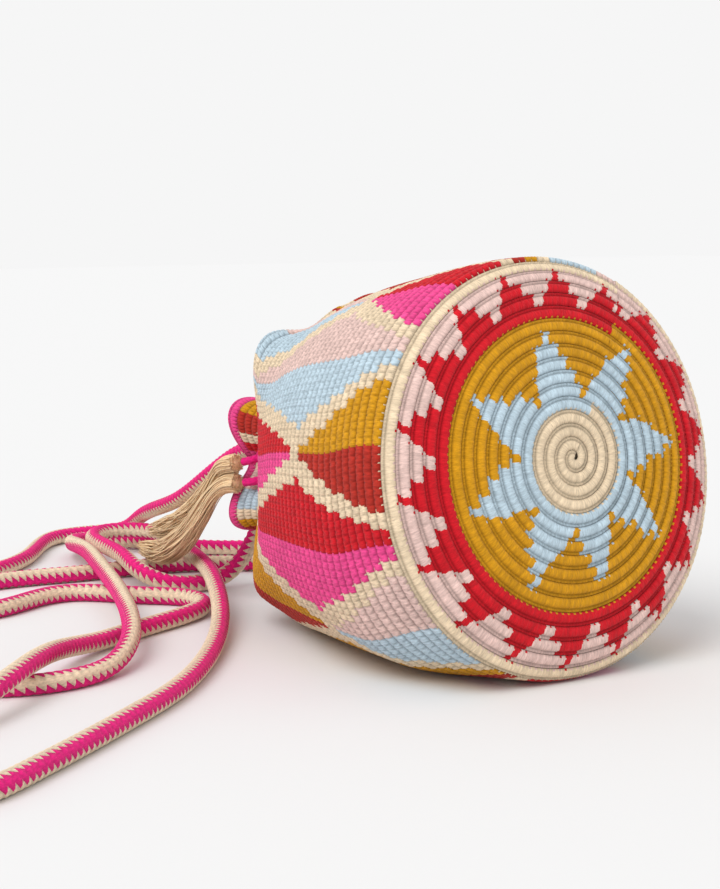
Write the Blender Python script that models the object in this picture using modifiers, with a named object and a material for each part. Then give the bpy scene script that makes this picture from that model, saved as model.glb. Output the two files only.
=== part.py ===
"""Crocheted shoulder bag with a round patterned base, lying on its side.

Units are metres and Z is up. The bag's axis runs along +Y: the base faces -Y, and the gathered neck and its
ruffled mouth face +Y. The drawstring's two tassels and the long strap come out of the mouth on the -X side,
and the strap is laid out over the floor.

The body is one outline turned into a solid of revolution and then laid down: each turned point is moved by
the section table, so the soft bag widens, leans, rests on the floor and gathers at the neck as cloth does.
"""

import math

import bmesh
import bpy
import numpy as np
from mathutils import Matrix, Vector

# Gauge of the crochet: each round is one raised band, spiralling out over the base and up the wall.
ROUND_PITCH = 0.00647
BASE_RIDGE = 0.0006
WALL_RIDGE = 0.0004
BASE_ROUNDS = 17
TURN_STEPS = 50
FINE_STEPS = 200
TURN_MERGE = 0.00005

# Base outline: radius and distance behind the base plane.
DOME_CENTRE = (0.0, -0.0165)
DOME_MIDDLE = (0.0385, -0.0155)
BASE_EDGE = (0.0765, -0.0110)
SHOULDER = (0.0975, -0.0065)
CORNER = (0.1095, 0.0010)
BASE_OUTLINE = (DOME_CENTRE, DOME_MIDDLE, BASE_EDGE, SHOULDER, CORNER)

# The neck, where the drawstring runs, and the rim of the ruffle behind it.
NECK = 0.2200
RUFFLE_LENGTH = 0.0240
RIM = NECK + RUFFLE_LENGTH

# Sections along the axis: distance behind the base plane, half width, half height, height of the middle, and
# how square the section is (0 is an ellipse).
NECK_RADIUS = 0.0460
NECK_HEIGHT = 0.0880
SECTIONS = (
    (-0.0185, 0.1090, 0.1068, 0.1178, 0.00),
    (0.0010, 0.1095, 0.1082, 0.1100, 0.02),
    (0.0110, 0.1112, 0.1085, 0.1088, 0.04),
    (0.0220, 0.1118, 0.1080, 0.1078, 0.06),
    (0.0400, 0.1112, 0.1070, 0.1060, 0.06),
    (0.0700, 0.1085, 0.1045, 0.1035, 0.06),
    (0.1000, 0.1025, 0.1020, 0.1010, 0.07),
    (0.1300, 0.0935, 0.0985, 0.0975, 0.09),
    (NECK - 0.0600, 0.0815, 0.0940, 0.0930, 0.14),
    (NECK - 0.0350, 0.0690, 0.0895, 0.0935, 0.20),
    (NECK - 0.0180, 0.0580, 0.0825, 0.0955, 0.24),
    (NECK - 0.0110, 0.0510, 0.0620, 0.0925, 0.12),
    (NECK - 0.0055, 0.0465, 0.0475, 0.0885, 0.00),
    (NECK, NECK_RADIUS, NECK_RADIUS, NECK_HEIGHT, 0.00),
    (NECK + RUFFLE_LENGTH / 3, 0.0465, 0.0465, NECK_HEIGHT, 0.00),
    (RIM, 0.0490, 0.0490, NECK_HEIGHT, 0.00),
)
LEAN = math.tan(math.radians(9.3))
LEAN_ENDS = 0.170

# Below its middle the soft wall sags into fuller, squarer sides where it lies on the floor.
SAG = 0.28
SAG_START = 0.004
SAG_FULL = 0.054
SAG_FADES = NECK - 0.035
SAG_END = NECK - 0.008

# Gathers: the wall folds in and out round the drawstring, and the folds open into the ruffle.
PLEATS = 5
PLEATS_START = NECK - 0.070
NECK_PLEAT = 0.0090
RIM_PLEAT = 0.0120

# Wall thickness, and the spacing of the inner face's rings.
WALL = 0.0032
RUFFLE_WALL = 0.0046
INNER_STEP = 0.026

# Eyelets lie where the folded wall crosses the drawstring's circle, two to each pleat.
DRAWSTRING_DIAMETER = 0.0050
RING_RADIUS = NECK_RADIUS - RUFFLE_WALL / 2
EYELET_PLAY = 0.0014
EYELET_LENGTH = 0.0150
EYELET_SIDES = 10
EYELETS = 2 * PLEATS
STRING_ENDS = math.radians(9)

# Tassels: bound head and hanging skirt of threads.
HEAD_RADIUS = 0.0056
BOUND_RADIUS = 0.0040
SKIRT_FOLDS = 7
TASSEL_STEPS = 21
TASSEL_RINGS = 12
SKIRT_FOLD_DEPTH = 0.06
PATH_STEPS = 59
TOUCH = 0.0003

# Ends of the drawstring, from its circle out through the valley between two folds.
UPPER_END = ((-0.0475, 0.2230, 0.0930), (-0.0500, 0.2290, 0.0915))
LOWER_END = ((-0.0470, 0.2225, 0.0800), (-0.0495, 0.2285, 0.0790))
UPPER_TASSEL = (
    (-0.0518, 0.2335, 0.0904, HEAD_RADIUS),
    (-0.0530, 0.2390, 0.0893, BOUND_RADIUS),
    (-0.0532, 0.2440, 0.0882, 0.0056),
    (-0.0520, 0.2560, 0.0835, 0.0062),
    (-0.0480, 0.2700, 0.0690, 0.0075),
    (-0.0430, 0.2950, 0.0530, 0.0080),
    (-0.0350, 0.3300, 0.0385, 0.0080),
    (-0.0260, 0.3750, 0.0275, 0.0065),
    (-0.0210, 0.4050, 0.0225, 0.0045),
)
LOWER_TASSEL = (
    (-0.0514, 0.2330, 0.0782, HEAD_RADIUS),
    (-0.0530, 0.2390, 0.0775, BOUND_RADIUS),
    (-0.0542, 0.2440, 0.0762, 0.0052),
    (-0.0562, 0.2560, 0.0690, 0.0058),
    (-0.0580, 0.2680, 0.0510, 0.0073),
    (-0.0570, 0.2900, 0.0340, 0.0078),
    (-0.0530, 0.3200, 0.0215, 0.0075),
    (-0.0470, 0.3550, 0.0185, 0.0055),
    (-0.0420, 0.3800, 0.0175, 0.0040),
)

# Strap: a thick four-strand braid, laid out over the floor in loops that pass over each other.
STRAP_DIAMETER = 0.0106
LAID = 0.0056
OVER = 0.0172
STRAP_ROUTE = (
    # Sewn inside the mouth, then down over the tassels to the floor.
    (-0.0285, 0.2310, 0.0920),
    (-0.0268, 0.2440, 0.0935),
    (-0.0225, 0.2620, 0.0945),
    (-0.0200, 0.2870, 0.0890),
    (-0.0200, 0.3250, 0.0690),
    (-0.0170, 0.3700, 0.0460),
    (-0.0110, 0.4190, 0.0345),
    (-0.0040, 0.4540, 0.0225),
    (0.0020, 0.4810, 0.0095),
    (-0.0120, 0.5080, LAID),
    (-0.0460, 0.5080, LAID),
    (-0.0720, 0.4760, LAID),
    (-0.0990, 0.4340, LAID),
    (-0.1350, 0.4060, LAID),
    # First wide turn on the floor.
    (-0.1780, 0.3900, LAID),
    (-0.2250, 0.3680, LAID),
    (-0.2640, 0.3300, LAID),
    (-0.2890, 0.2800, LAID),
    (-0.3000, 0.2230, LAID),
    (-0.2950, 0.1680, LAID),
    (-0.2760, 0.1320, LAID),
    (-0.2480, 0.1140, LAID),
    (-0.2180, 0.1130, LAID),
    (-0.1910, 0.1250, LAID),
    (-0.1680, 0.1480, 0.0130),
    # Back over the other loops, and round at the far end.
    (-0.1500, 0.1850, OVER),
    (-0.1310, 0.2300, OVER),
    (-0.1130, 0.2790, OVER),
    (-0.0960, 0.3300, OVER),
    (-0.0800, 0.3760, OVER),
    (-0.0690, 0.4150, 0.0150),
    (-0.0600, 0.4520, 0.0110),
    (-0.0340, 0.4740, 0.0080),
    (-0.0040, 0.4580, LAID),
    (0.0090, 0.4280, LAID),
    (0.0270, 0.4010, LAID),
    (0.0500, 0.3870, LAID),
    (0.0760, 0.3720, LAID),
    (0.0820, 0.3420, LAID),
    (0.0610, 0.3210, LAID),
    (0.0330, 0.3270, LAID),
    (0.0060, 0.3480, LAID),
    (-0.0230, 0.3620, LAID),
    (-0.0540, 0.3670, LAID),
    (-0.0830, 0.3670, LAID),
    (-0.1120, 0.3720, LAID),
    (-0.1400, 0.3760, LAID),
    # Second turn, and the small loop near the mouth.
    (-0.1700, 0.3720, LAID),
    (-0.2020, 0.3590, LAID),
    (-0.2220, 0.3310, LAID),
    (-0.2160, 0.3010, LAID),
    (-0.1900, 0.2900, LAID),
    (-0.1650, 0.3020, LAID),
    (-0.1420, 0.3160, LAID),
    (-0.1200, 0.3160, LAID),
    (-0.1040, 0.2970, LAID),
    (-0.0890, 0.2790, LAID),
    (-0.0700, 0.2640, LAID),
    (-0.0700, 0.2370, LAID),
    (-0.0910, 0.2190, LAID),
    (-0.1180, 0.2080, LAID),
    (-0.1470, 0.1950, LAID),
    (-0.1740, 0.1810, LAID),
    (-0.2060, 0.1560, 0.0120),
    (-0.2400, 0.1160, 0.0190),
    (-0.2770, 0.0800, 0.0160),
    # Third turn, and the long curve at the front.
    (-0.3160, 0.0560, 0.0080),
    (-0.3500, 0.0300, LAID),
    (-0.3740, -0.0020, LAID),
    (-0.3700, -0.0350, LAID),
    (-0.3400, -0.0440, LAID),
    (-0.3060, -0.0210, LAID),
    (-0.2660, 0.0060, LAID),
    (-0.2250, 0.0360, LAID),
    (-0.1840, 0.0665, LAID),
    (-0.1400, 0.1150, LAID),
    (-0.1010, 0.1680, 0.0080),
    (-0.0740, 0.2170, 0.0155),
    (-0.0490, 0.2720, 0.0195),
    (-0.0280, 0.3280, OVER),
    (-0.0140, 0.3800, OVER),
    (-0.0030, 0.4100, OVER),
    (-0.0090, 0.4390, OVER),
    (-0.0360, 0.4490, OVER),
    (-0.0580, 0.4240, OVER),
    (-0.0620, 0.3840, OVER),
    (-0.0680, 0.3480, OVER),
    (-0.0765, 0.3180, 0.0135),
    (-0.0660, 0.2950, 0.0070),
    (-0.0410, 0.2940, LAID),
    (-0.0210, 0.2950, 0.0080),
    (-0.0105, 0.2840, 0.0290),
    (-0.0090, 0.2680, 0.0560),
    (-0.0085, 0.2490, 0.0670),
    (-0.0083, 0.2310, 0.0621),
)
STRAP_POINTS = 104
STRAP_BEND_SHARE = 0.05

# Pattern of the base, counted in rounds: an eight-pointed star, then a stepped border (angles in degrees).
STAR_FROM = 6
STAR_SHARES = (0.16, 0.28, 0.47, 0.61, 0.80)
STAR_SECTOR = 45.0
STAR_TURN = 33.0
BORDER_FROM = 13
BORDER_SHARES = (0.22, 0.55, 0.88)
BORDER_SECTOR = 20.0
BORDER_TURN = -4.0

# Pattern of the wall: seven gems with their broad end at the base, seven kites between them that point to the
# base, and seven gems behind the first ones. Each is split lengthwise into two colours, with cream between.
GEMS = 7
GEM_SECTOR = 360.0 / GEMS
GEM_TURN = 122.0
GEM_START = 0.0090
GEM_END = 0.0850
GEM_HALF = 18.0
KITE_HALF = 19.5
KITE_END = NECK - 0.0100
BEHIND_START = 0.0950
CREAM_BAND = 6.5
GEM_PAIRS = (("red", "magenta"), ("mustard", "brick"), ("pink", "blue"))
GEM_ORDER = (0, 1, 2, 0, 1, 0, 2)

# Colours, as display values between 0 and 1.
CREAM = (0.882, 0.796, 0.698)
BLUE = (0.725, 0.800, 0.843)
MUSTARD = (0.800, 0.573, 0.125)
RED = (0.808, 0.165, 0.196)
PINK = (0.882, 0.765, 0.733)
BRICK = (0.655, 0.204, 0.173)
MAGENTA = (0.894, 0.310, 0.537)
BRAID = (0.882, 0.176, 0.490)
THREAD = (0.820, 0.690, 0.540)


def clear_scene():
    for obj in list(bpy.data.objects):
        bpy.data.objects.remove(obj, do_unlink=True)


def collection(name, hidden=False):
    made = bpy.data.collections.new(name)
    bpy.context.scene.collection.children.link(made)
    made.hide_render = hidden
    return made


def linear(value):
    return value / 12.92 if value <= 0.04045 else ((value + 0.055) / 1.055) ** 2.4


def fabric(name, colour, roughness=0.9):
    made = bpy.data.materials.new(name)
    made.use_nodes = True
    shader = made.node_tree.nodes["Principled BSDF"]
    shader.inputs["Base Color"].default_value = (*map(linear, colour), 1.0)
    shader.inputs["Roughness"].default_value = roughness
    shader.inputs["Metallic"].default_value = 0.0
    return made


def place(mesh, name, holder, *materials):
    obj = bpy.data.objects.new(name, mesh)
    holder.objects.link(obj)
    for material in materials:
        mesh.materials.append(material)
    return obj


def baked(obj, name, holder, *materials):
    """The object as its modifiers leave it, as a mesh object of its own."""
    graph = bpy.context.evaluated_depsgraph_get()
    mesh = bpy.data.meshes.new_from_object(obj.evaluated_get(graph))
    mesh.transform(obj.matrix_world)
    bpy.data.objects.remove(obj, do_unlink=True)
    mesh.materials.clear()
    mesh.name = name
    return place(mesh, name, holder, *materials)


def ease(value):
    value = min(max(value, 0.0), 1.0)
    return value * value * (3.0 - 2.0 * value)


def through(xs, ys, x):
    """A smooth curve through the points (xs, ys), read at x."""
    xs = np.asarray(xs, float)
    ys = np.asarray(ys, float)
    slopes = np.gradient(ys, xs)
    i = int(np.clip(np.searchsorted(xs, x) - 1, 0, len(xs) - 2))
    step = xs[i + 1] - xs[i]
    u = min(max((x - xs[i]) / step, 0.0), 1.0)
    ends = ys[i] * (1 + 2 * u) * (1 - u) ** 2 + ys[i + 1] * u * u * (3 - 2 * u)
    return ends + step * (slopes[i] * u * (1 - u) ** 2 - slopes[i + 1] * u * u * (1 - u))


def section(t):
    """Half width, half height, middle height and squareness of the bag at t behind the base plane."""
    at = [row[0] for row in SECTIONS]
    return [through(at, [row[k] for row in SECTIONS], t) for k in (1, 2, 3, 4)]


def along(points):
    """Distance along the polyline to each of its points."""
    return np.r_[0.0, np.cumsum(np.linalg.norm(np.diff(points, axis=0), axis=1))]


def spread(points, count):
    """The polyline read at count + 1 evenly spaced places, with its ends kept."""
    run = along(points)
    at = np.linspace(0.0, run[-1], count + 1)
    return np.stack([np.interp(at, run, points[:, k]) for k in range(points.shape[1])], axis=1)


def evenly(points, step):
    """The polyline's points read at an even spacing near step, with its ends kept."""
    return spread(points, max(int(round(along(points)[-1] / step)), 1))


def base_curve():
    """Fine outline of the base, from its middle to the corner."""
    radii = [point[0] for point in BASE_OUTLINE]
    depths = [point[1] for point in BASE_OUTLINE]
    fine = np.linspace(0.0, CORNER[0], FINE_STEPS)
    return np.array([(r, through(radii, depths, r)) for r in fine])


def wall_curve(start, end):
    """Fine outline of the wall between two distances behind the base plane."""
    return np.array([(section(t)[0], t) for t in np.linspace(start, end, FINE_STEPS)])


def ridged(points, height, period):
    """Raises every so many of an outline's points along its normal, as the crochet's rounds do."""
    points = np.asarray(points, float)
    run = np.gradient(points, axis=0)
    normal = np.stack([run[:, 1], -run[:, 0]], axis=1) / np.linalg.norm(run, axis=1)[:, None]
    raised = points.copy()
    raised[1:-1:period] += normal[1:-1:period] * height
    return raised


def wall_thickness(t):
    return WALL + (RUFFLE_WALL - WALL) * ease((t - PLEATS_START) / (NECK - PLEATS_START))


def outer_outline():
    base = ridged(spread(base_curve(), 2 * BASE_ROUNDS), BASE_RIDGE, 2)
    wall = ridged(evenly(wall_curve(CORNER[1], NECK), ROUND_PITCH), WALL_RIDGE, 2)
    ruffle = evenly(wall_curve(NECK, RIM), ROUND_PITCH)
    return [tuple(p) for p in (*base, *wall[1:], *ruffle[1:])]


def inner_outline():
    """The inner face, from the rim down to the middle of the base, a wall's thickness inside the outer one."""
    gathered = evenly(wall_curve(PLEATS_START, NECK), ROUND_PITCH)
    ruffle = evenly(wall_curve(NECK, RIM), ROUND_PITCH)
    straight = evenly(wall_curve(CORNER[1] + WALL, PLEATS_START), INNER_STEP)
    base = evenly(base_curve(), INNER_STEP)
    wall = [(r - wall_thickness(t), t) for r, t in (*straight, *gathered[1:], *ruffle[1:])]
    inset = (CORNER[0] - WALL) / CORNER[0]
    floor = [(r * inset, t + WALL) for r, t in base]
    return wall[::-1] + floor[-2::-1]


def pleat(t, angle):
    """How far the fold pushes the wall out at this angle round the axis."""
    neck = NECK_PLEAT * ease((t - PLEATS_START) / (NECK - PLEATS_START))
    rim = (RIM_PLEAT - NECK_PLEAT) * ease((t - NECK) / (RIM - NECK))
    return (neck + rim) * math.cos(PLEATS * angle)


def sag(t):
    opening = ease((t - SAG_START) / (SAG_FULL - SAG_START))
    return SAG * opening * (1 - ease((t - SAG_FADES) / (SAG_END - SAG_FADES)))


def squared(value, power):
    return math.copysign(abs(value) ** power, value)


def laid_down(radius, angle, t):
    """Where a point of the turned bag lies once the bag is on its side."""
    half_width, half_height, middle, square = section(t)
    inside = t > CORNER[1] and radius < half_width - WALL / 2
    radius += pleat(t, angle) * radius / half_width
    power = 1 - square - (sag(t) if math.sin(angle) < 0 else 0.0)
    x = radius * squared(math.cos(angle), power)
    rise = radius * squared(math.sin(angle), power) * half_height / half_width
    z = max(middle + rise, WALL if inside else 0.0)
    y = t + LEAN * (z - middle) * (1 - ease(t / LEAN_ENDS))
    return x, y, z


def base_colour(radius, angle):
    """The base: a star in the middle, then a stepped border, worked outwards in rounds."""
    done = int(radius / CORNER[0] * BASE_ROUNDS)
    if done < STAR_FROM - 1 or done >= BORDER_FROM + len(BORDER_SHARES):
        return "cream"
    if done < STAR_FROM:
        return "blue"
    if done < STAR_FROM + len(STAR_SHARES):
        turn = (math.degrees(angle) + STAR_TURN) % STAR_SECTOR / STAR_SECTOR
        return "mustard" if abs(turn - 0.5) < STAR_SHARES[done - STAR_FROM] / 2 else "blue"
    if done < BORDER_FROM:
        return "mustard" if done < BORDER_FROM - 1 else "red"
    step = (math.degrees(angle) + BORDER_TURN) % BORDER_SECTOR / BORDER_SECTOR
    return "pink" if abs(step - 0.5) < BORDER_SHARES[done - BORDER_FROM] / 2 else "red"


def kite_half(t):
    """Half angle of a kite: it opens from its point at the base and closes again towards the neck."""
    opening = (t - GEM_START) / (GEM_END - GEM_START)
    closing = (KITE_END - t) / (KITE_END - GEM_END)
    return KITE_HALF * max(min(opening, closing), 0.0)


def gem_half(t):
    """Half angle of a gem: the first closes towards the neck, and the one behind it opens."""
    if t < BEHIND_START:
        return GEM_HALF * max((GEM_END - t) / (GEM_END - GEM_START), 0.0)
    opening = GEM_HALF * (t - BEHIND_START) / (GEM_END - GEM_START)
    return min(opening, GEM_SECTOR / 2 - CREAM_BAND - kite_half(t))


def wall_colour(angle, t):
    if t > RIM - ROUND_PITCH:
        return "magenta"
    turn = (math.degrees(angle) - GEM_TURN + GEM_SECTOR / 2) % 360.0
    sector = int(turn / GEM_SECTOR)
    across = turn - (sector + 0.5) * GEM_SECTOR
    pair = GEM_ORDER[sector]
    if t >= GEM_START and abs(across) < gem_half(t):
        pair = pair if t < BEHIND_START else pair - 1
        return GEM_PAIRS[pair % 3][across > 0]
    away = GEM_SECTOR / 2 - abs(across)
    if t >= GEM_START and away < kite_half(t):
        beside = GEM_ORDER[(sector + (1 if across > 0 else -1)) % GEMS]
        return GEM_PAIRS[kite_pair(pair, beside)][across < 0]
    return "cream"


def kite_pair(one, other):
    """The pair of colours that neither of a kite's neighbours has."""
    return next(k for k in range(len(GEM_PAIRS)) if k not in (one, other))


def paint(mesh, palette, turned):
    """Gives each face the colour of the round that it was worked in."""
    names = list(palette)
    for face in mesh.polygons:
        radius, angle, t = turned(face)
        if t <= CORNER[1] and radius < CORNER[0]:
            name = base_colour(radius, angle)
        else:
            name = wall_colour(angle, t)
        face.material_index = names.index(name)
    mesh.shade_smooth()


def turned_solid(name, outline, holder):
    """An outline in the XZ plane, turned about Z by a Screw modifier."""
    mesh = bpy.data.meshes.new(name)
    edges = [(i, i + 1) for i in range(len(outline) - 1)]
    mesh.from_pydata([(r, 0.0, t) for r, t in outline], edges, [])
    obj = place(mesh, name, holder)
    screw = obj.modifiers.new("Turn", "SCREW")
    screw.steps = TURN_STEPS
    screw.render_steps = TURN_STEPS
    screw.use_merge_vertices = True
    screw.merge_threshold = TURN_MERGE
    return obj


def face_out(mesh):
    solid = bmesh.new()
    solid.from_mesh(mesh)
    bmesh.ops.recalc_face_normals(solid, faces=solid.faces)
    solid.to_mesh(mesh)
    solid.free()


def bag_body(holder, palette):
    outline = outer_outline() + inner_outline()
    obj = baked(turned_solid("turned_bag", outline, holder), "bag_body", holder, *palette.values())
    mesh = obj.data

    def turned(face):
        centre = sum((mesh.vertices[i].co for i in face.vertices), Vector()) / len(face.vertices)
        return math.hypot(centre.x, centre.y), math.atan2(-centre.y, centre.x), centre.z

    paint(mesh, palette, turned)
    for vertex in mesh.vertices:
        x, y, t = vertex.co
        vertex.co = laid_down(math.hypot(x, y), math.atan2(-y, x), t)
    face_out(mesh)
    return obj


def on_ring(angle, radius=RING_RADIUS):
    return Vector((radius * math.cos(angle), NECK, NECK_HEIGHT + radius * math.sin(angle)))


def cut_eyelets(body, cutters):
    """Each eyelet is a hole along the drawstring's circle, where the folded wall crosses it."""
    holes = bmesh.new()
    radius = DRAWSTRING_DIAMETER / 2 + EYELET_PLAY
    for k in range(EYELETS):
        angle = math.pi * (2 * k + 1) / EYELETS
        heading = Vector((-math.sin(angle), 0.0, math.cos(angle)))
        turn = heading.to_track_quat("Z", "Y").to_matrix().to_4x4()
        where = Matrix.Translation(on_ring(angle)) @ turn
        bmesh.ops.create_cone(
            holes, cap_ends=True, segments=EYELET_SIDES, radius1=radius, radius2=radius,
            depth=EYELET_LENGTH, matrix=where)
    mesh = bpy.data.meshes.new("eyelet_cutter")
    holes.to_mesh(mesh)
    holes.free()
    cutter = place(mesh, "eyelet_cutter", cutters)
    cutter.hide_render = True
    cutter.display_type = "WIRE"
    cut = body.modifiers.new("Eyelets", "BOOLEAN")
    cut.operation = "DIFFERENCE"
    cut.object = cutter


def led_curve(points, count, bend_share=0.0):
    """Points along the smooth curve that the route's points lead (a uniform cubic B-spline).

    bend_share is the extra length that a bend of one radian counts for, so that bends get closer points.
    """
    p = np.asarray(points, float)
    p = np.vstack([2 * p[0] - p[1], p, 2 * p[-1] - p[-2]])
    u = np.linspace(0.0, 1.0, 12, endpoint=False)[:, None]
    weights = ((1 - u) ** 3, 3 * u ** 3 - 6 * u ** 2 + 4, -3 * u ** 3 + 3 * u ** 2 + 3 * u + 1, u ** 3)
    runs = [sum(w * p[i + k] for k, w in enumerate(weights)) / 6 for i in range(len(p) - 3)]
    fine = np.vstack([*runs, p[-2:-1]])
    steps = np.diff(fine, axis=0)
    lengths = np.linalg.norm(steps, axis=1)
    headings = steps / lengths[:, None]
    bends = np.linalg.norm(np.gradient(headings, axis=0), axis=1)
    run = np.r_[0.0, np.cumsum(lengths + bend_share * bends)]
    at = np.linspace(0.0, run[-1], count)
    return np.stack([np.interp(at, run, fine[:, k]) for k in range(3)], axis=1)


def tube(name, points, diameter, resolution, holder, material):
    curve = bpy.data.curves.new(name, "CURVE")
    curve.dimensions = "3D"
    curve.bevel_depth = diameter / 2
    curve.bevel_resolution = resolution
    curve.use_fill_caps = True
    line = curve.splines.new("POLY")
    line.points.add(len(points) - 1)
    for point, place_at in zip(line.points, points):
        point.co = (*place_at, 1.0)
    curve.materials.append(material)
    obj = bpy.data.objects.new(name, curve)
    holder.objects.link(obj)
    return obj


def from_end(string_end, tassel):
    """The tassel's path with its tip just clear of the drawstring's cut end."""
    last = Vector(string_end[-1])
    run = (Vector(tassel[0][:3]) - last).normalized()
    return ((*(last + run * TOUCH), DRAWSTRING_DIAMETER / 2), *tassel)


def drawstring(holder, material):
    """One cord in and out of all the eyelets, with both ends out of the valley on the -X side."""
    start = math.pi + STRING_ENDS
    sweep = 2 * math.pi - 2 * STRING_ENDS
    ring = [on_ring(start + sweep * k / TURN_STEPS) for k in range(TURN_STEPS + 1)]
    route = [Vector(p) for p in LOWER_END[::-1]] + ring + [Vector(p) for p in UPPER_END]
    return tube("drawstring", route, DRAWSTRING_DIAMETER, 2, holder, material)


def along_path(obj, path):
    """Bends a solid turned about Z, whose Z runs from 0 to 1, along the path's middles and radii."""
    rows = np.asarray(path, float)
    middles = led_curve(rows[:, :3], PATH_STEPS + 1)
    sizes = np.interp(np.linspace(0, 1, PATH_STEPS + 1), np.linspace(0, 1, len(rows)), rows[:, 3])
    runs = np.gradient(middles, axis=0)
    for vertex in obj.data.vertices:
        where = vertex.co.z * PATH_STEPS
        i = min(int(where), PATH_STEPS - 1)
        share = where - i
        middle = middles[i] * (1 - share) + middles[i + 1] * share
        run = Vector(runs[i] * (1 - share) + runs[i + 1] * share).normalized()
        side = run.cross(Vector((0, 0, 1))).normalized()
        size = sizes[i] * (1 - share) + sizes[i + 1] * share
        vertex.co = Vector(middle) + (side * vertex.co.x + side.cross(run) * vertex.co.y) * size


def bundle(name, path, holder, material):
    """A tassel: a closed turned bundle along a path, with the folds of gathered threads round it."""
    rings = [(1.0, k / TASSEL_RINGS) for k in range(TASSEL_RINGS + 1)]
    obj = turned_solid(name + "_turned", [(0.0, 1.0), *rings[::-1], (0.0, 0.0)], holder)
    obj.modifiers["Turn"].steps = TASSEL_STEPS
    obj.modifiers["Turn"].render_steps = TASSEL_STEPS
    obj = baked(obj, name, holder, material)
    for vertex in obj.data.vertices:
        angle = math.atan2(vertex.co.y, vertex.co.x)
        swell = 1 + SKIRT_FOLD_DEPTH * math.cos(SKIRT_FOLDS * angle)
        vertex.co.x *= swell
        vertex.co.y *= swell
    along_path(obj, path)
    face_out(obj.data)
    obj.data.shade_smooth()
    return obj


def middle_under_origin(body, holder):
    """Stands the bag's body over the origin: everything hangs on one empty, moved along the bag's axis."""
    ys = [vertex.co.y for vertex in body.data.vertices]
    frame = bpy.data.objects.new("bag_frame", None)
    holder.objects.link(frame)
    frame.location.y = -(min(ys) + max(ys)) / 2
    for obj in bpy.data.objects:
        if obj is not frame:
            obj.parent = frame


def main():
    clear_scene()
    parts = collection("crocheted_bag")
    cutters = collection("cutters", hidden=True)
    palette = {
        "cream": fabric("cream_yarn", CREAM), "blue": fabric("blue_yarn", BLUE),
        "mustard": fabric("mustard_yarn", MUSTARD), "red": fabric("red_yarn", RED),
        "pink": fabric("pink_yarn", PINK), "brick": fabric("brick_yarn", BRICK),
        "magenta": fabric("magenta_yarn", MAGENTA)}
    braid = fabric("braid_yarn", BRAID)
    thread = fabric("tassel_thread", THREAD)
    body = bag_body(parts, palette)
    cut_eyelets(body, cutters)
    drawstring(parts, braid)
    bundle("tassel_upper", from_end(UPPER_END, UPPER_TASSEL), parts, thread)
    bundle("tassel_lower", from_end(LOWER_END, LOWER_TASSEL), parts, thread)
    strap = led_curve(STRAP_ROUTE, STRAP_POINTS, STRAP_BEND_SHARE)
    tube("strap", strap, STRAP_DIAMETER, 2, parts, braid)
    middle_under_origin(body, parts)


main()
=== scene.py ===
# %% [markdown]
# # A crocheted mochila bag on its side
#
# The bag is worked in one piece, in rounds, from the middle of its base. Here every stitch becomes a small
# raised form with its own colour, laid over the form of the measured model. A bump pattern on a smooth bag
# would be quicker, but its outline would stay smooth, and the stitches make this bag's edges. The strap
# and the drawstring are braided, and the tassels are loose threads.
#
# First the measured model is loaded. Everything is in metres, with the floor at zero and the base facing
# -Y.

# %% Load the measured model
import math

import bpy
import numpy as np
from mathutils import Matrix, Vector


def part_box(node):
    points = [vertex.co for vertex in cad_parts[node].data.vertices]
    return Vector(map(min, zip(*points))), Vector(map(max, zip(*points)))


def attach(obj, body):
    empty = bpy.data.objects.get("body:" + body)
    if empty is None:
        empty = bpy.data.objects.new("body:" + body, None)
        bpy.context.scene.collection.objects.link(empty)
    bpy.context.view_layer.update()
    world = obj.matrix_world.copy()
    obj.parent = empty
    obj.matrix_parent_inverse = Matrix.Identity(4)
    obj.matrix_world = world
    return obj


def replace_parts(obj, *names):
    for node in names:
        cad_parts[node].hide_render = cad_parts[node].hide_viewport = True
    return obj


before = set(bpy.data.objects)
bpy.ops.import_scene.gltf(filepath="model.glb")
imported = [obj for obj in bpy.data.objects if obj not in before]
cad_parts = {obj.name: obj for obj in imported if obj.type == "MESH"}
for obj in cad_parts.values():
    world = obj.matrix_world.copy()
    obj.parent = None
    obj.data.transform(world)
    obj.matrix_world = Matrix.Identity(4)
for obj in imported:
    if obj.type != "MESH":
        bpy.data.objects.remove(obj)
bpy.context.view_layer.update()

# %% [markdown]
# ## Camera, floor and light
#
# The camera was matched to the photograph from the ellipses of the base: it stands at the bag's front
# left, a little higher than the bag. Places along the bag are measured from its base plane, and AXIS_SHIFT
# is where that plane stands in the model.
#
# The photograph has soft light and hardly a shadow. Area lamps would do, but they leave a bright patch on
# the floor. A sun with a very wide disc and a bright sky light all of it evenly, and what the camera sees
# behind the floor is a plain tone of its own, which lights nothing.

# %% Camera
PICTURE = (720, 889)
FOCAL_PIXELS = 1920.0
SENSOR = 36.0
AZIMUTH = -34.4
ELEVATION = 7.12
RIM = 0.2440
AXIS_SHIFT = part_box("bag_body")[1][1] - RIM
EYE = (-0.6394, -0.7565 + AXIS_SHIFT, 0.2452)


def make_camera():
    lens = bpy.data.cameras.new("camera")
    lens.sensor_width = SENSOR
    lens.lens = FOCAL_PIXELS * SENSOR / max(PICTURE)
    lens.clip_start = 0.05
    camera = bpy.data.objects.new("camera", lens)
    camera.location = EYE
    camera.rotation_euler = (math.radians(90 - ELEVATION), 0.0, math.radians(AZIMUTH))
    bpy.context.scene.collection.objects.link(camera)
    bpy.context.scene.camera = camera
    return camera


camera = make_camera()
bpy.context.scene.view_settings.view_transform = "Standard"
print("camera at", [round(v, 3) for v in camera.location], "lens", round(camera.data.lens, 1), "mm")

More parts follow.
